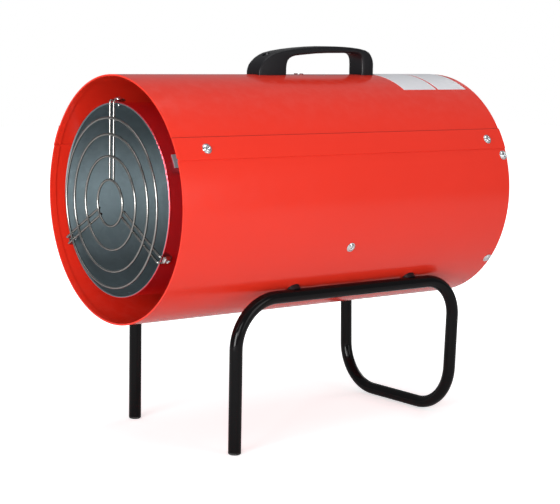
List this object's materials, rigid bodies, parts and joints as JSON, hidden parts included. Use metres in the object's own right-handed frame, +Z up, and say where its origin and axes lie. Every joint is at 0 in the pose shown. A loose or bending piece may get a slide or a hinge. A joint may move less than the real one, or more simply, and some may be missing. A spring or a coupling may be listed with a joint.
{
  "type": "gas forced air heater",
  "caption": "Portable gas-fired space heater: red sheet barrel with a wire outlet guard, grey burner chamber, rear fan and controls, black top handle and bent tube stand.",
  "frame": {"origin": "on the floor, at the middle of the object's length and width", "axes": "+Z up; +Y along the barrel from the hot air outlet towards the fan and controls; +X towards the side seen in the picture"},
  "size_m": [0.3, 0.525, 0.4883],
  "materials": {
    "red_coat": "glossy red powder coat",
    "zinc": "bright zinc plated steel",
    "galvanised": "galvanised sheet, slightly heat dulled",
    "guard_wire": "bright zinc plated welded wire",
    "black_plastic": "moulded black plastic with a fine grain",
    "dark_red": "dark red coated rivets",
    "bare_plate": "pale satin plates with nothing printed on them",
    "black_coat": "gloss black coated steel",
    "black_rubber": "dull black rubber",
    "bare_steel": "bare steel",
    "copper": "drawn copper, lightly darkened",
    "brass": "machined brass",
    "aluminium": "pressed aluminium sheet",
    "ceramic": "glazed white ceramic",
    "black_cable": "black cable sheath",
    "red_plastic": "moulded red plastic",
    "spring_steel": "drawn spring wire"
  },
  "bodies": {
    "heater": {"upper_shell": "red_coat", "lower_shell": "red_coat", "lap_screws": "zinc", "chamber_screws": "zinc", "rim_screws": "zinc", "combustion_chamber": "galvanised", "chamber_brackets": "galvanised", "outlet_guard": "guard_wire", "guard_clamp_screws": "zinc", "carry_handle": "black_plastic", "handle_screws": "zinc", "top_rivets": "dark_red", "top_plates": "bare_plate", "stand_tube": "black_coat", "foot_plugs": "black_rubber", "stand_saddles": "black_plastic", "stand_bolts": "zinc", "rear_guard": "black_coat", "motor_plate": "black_coat", "motor_studs": "zinc", "motor_housing": "bare_steel", "motor_rear_bell": "black_coat", "motor_stator": "bare_steel", "motor_windings": "copper", "motor_bushes": "brass", "burner_cup": "bare_steel", "flame_baffle": "bare_steel", "mixing_tube": "bare_steel", "gas_injector": "brass", "burner_bracket": "galvanised", "burner_screws": "zinc", "ignition_electrode": "ceramic", "ignition_lead": "black_cable", "thermocouple": "copper", "thermocouple_lead": "copper", "gas_pipe": "copper", "control_box": "black_coat", "control_panel": "black_coat", "gas_valve": "brass", "valve_spring": "spring_steel", "gas_inlet": "brass", "piezo_igniter": "black_plastic", "switch_housing": "black_plastic", "cable_gland": "black_plastic", "motor_cable": "black_cable", "thermostat_hanger": "galvanised", "overheat_thermostat": "black_plastic"},
    "fan": {"motor_rotor": "bare_steel", "motor_shaft": "bare_steel", "fan_impeller": "aluminium", "fan_hub": "bare_steel", "fan_nut": "zinc"},
    "gas_button": {"valve_stem": "zinc", "valve_button": "red_plastic"},
    "igniter_button": {"piezo_button": "red_plastic"},
    "rocker": {"power_rocker": "black_plastic"}
  },
  "joints": [
    {"name": "fan_spin", "type": "hinge", "parent": "heater", "child": "fan", "pos_m": [0, 0.19255, 0.302], "axis": [0, 1, 0], "continuous": true},
    {"name": "gas_button_push", "type": "slide", "parent": "heater", "child": "gas_button", "axis": [0, -1, 0], "range_m": [0, 0.005], "stiffness_N_per_m": 1500, "deforming": ["valve_spring"]},
    {"name": "igniter_button_push", "type": "slide", "parent": "heater", "child": "igniter_button", "axis": [0, -1, 0], "range_m": [0, 0.006], "stiffness_N_per_m": 1200},
    {"name": "rocker_tilt", "type": "hinge", "parent": "heater", "child": "rocker", "pos_m": [0.036, 0.23005, 0.186], "axis": [-1, 0, 0], "range_deg": [0, 20]}
  ]
}
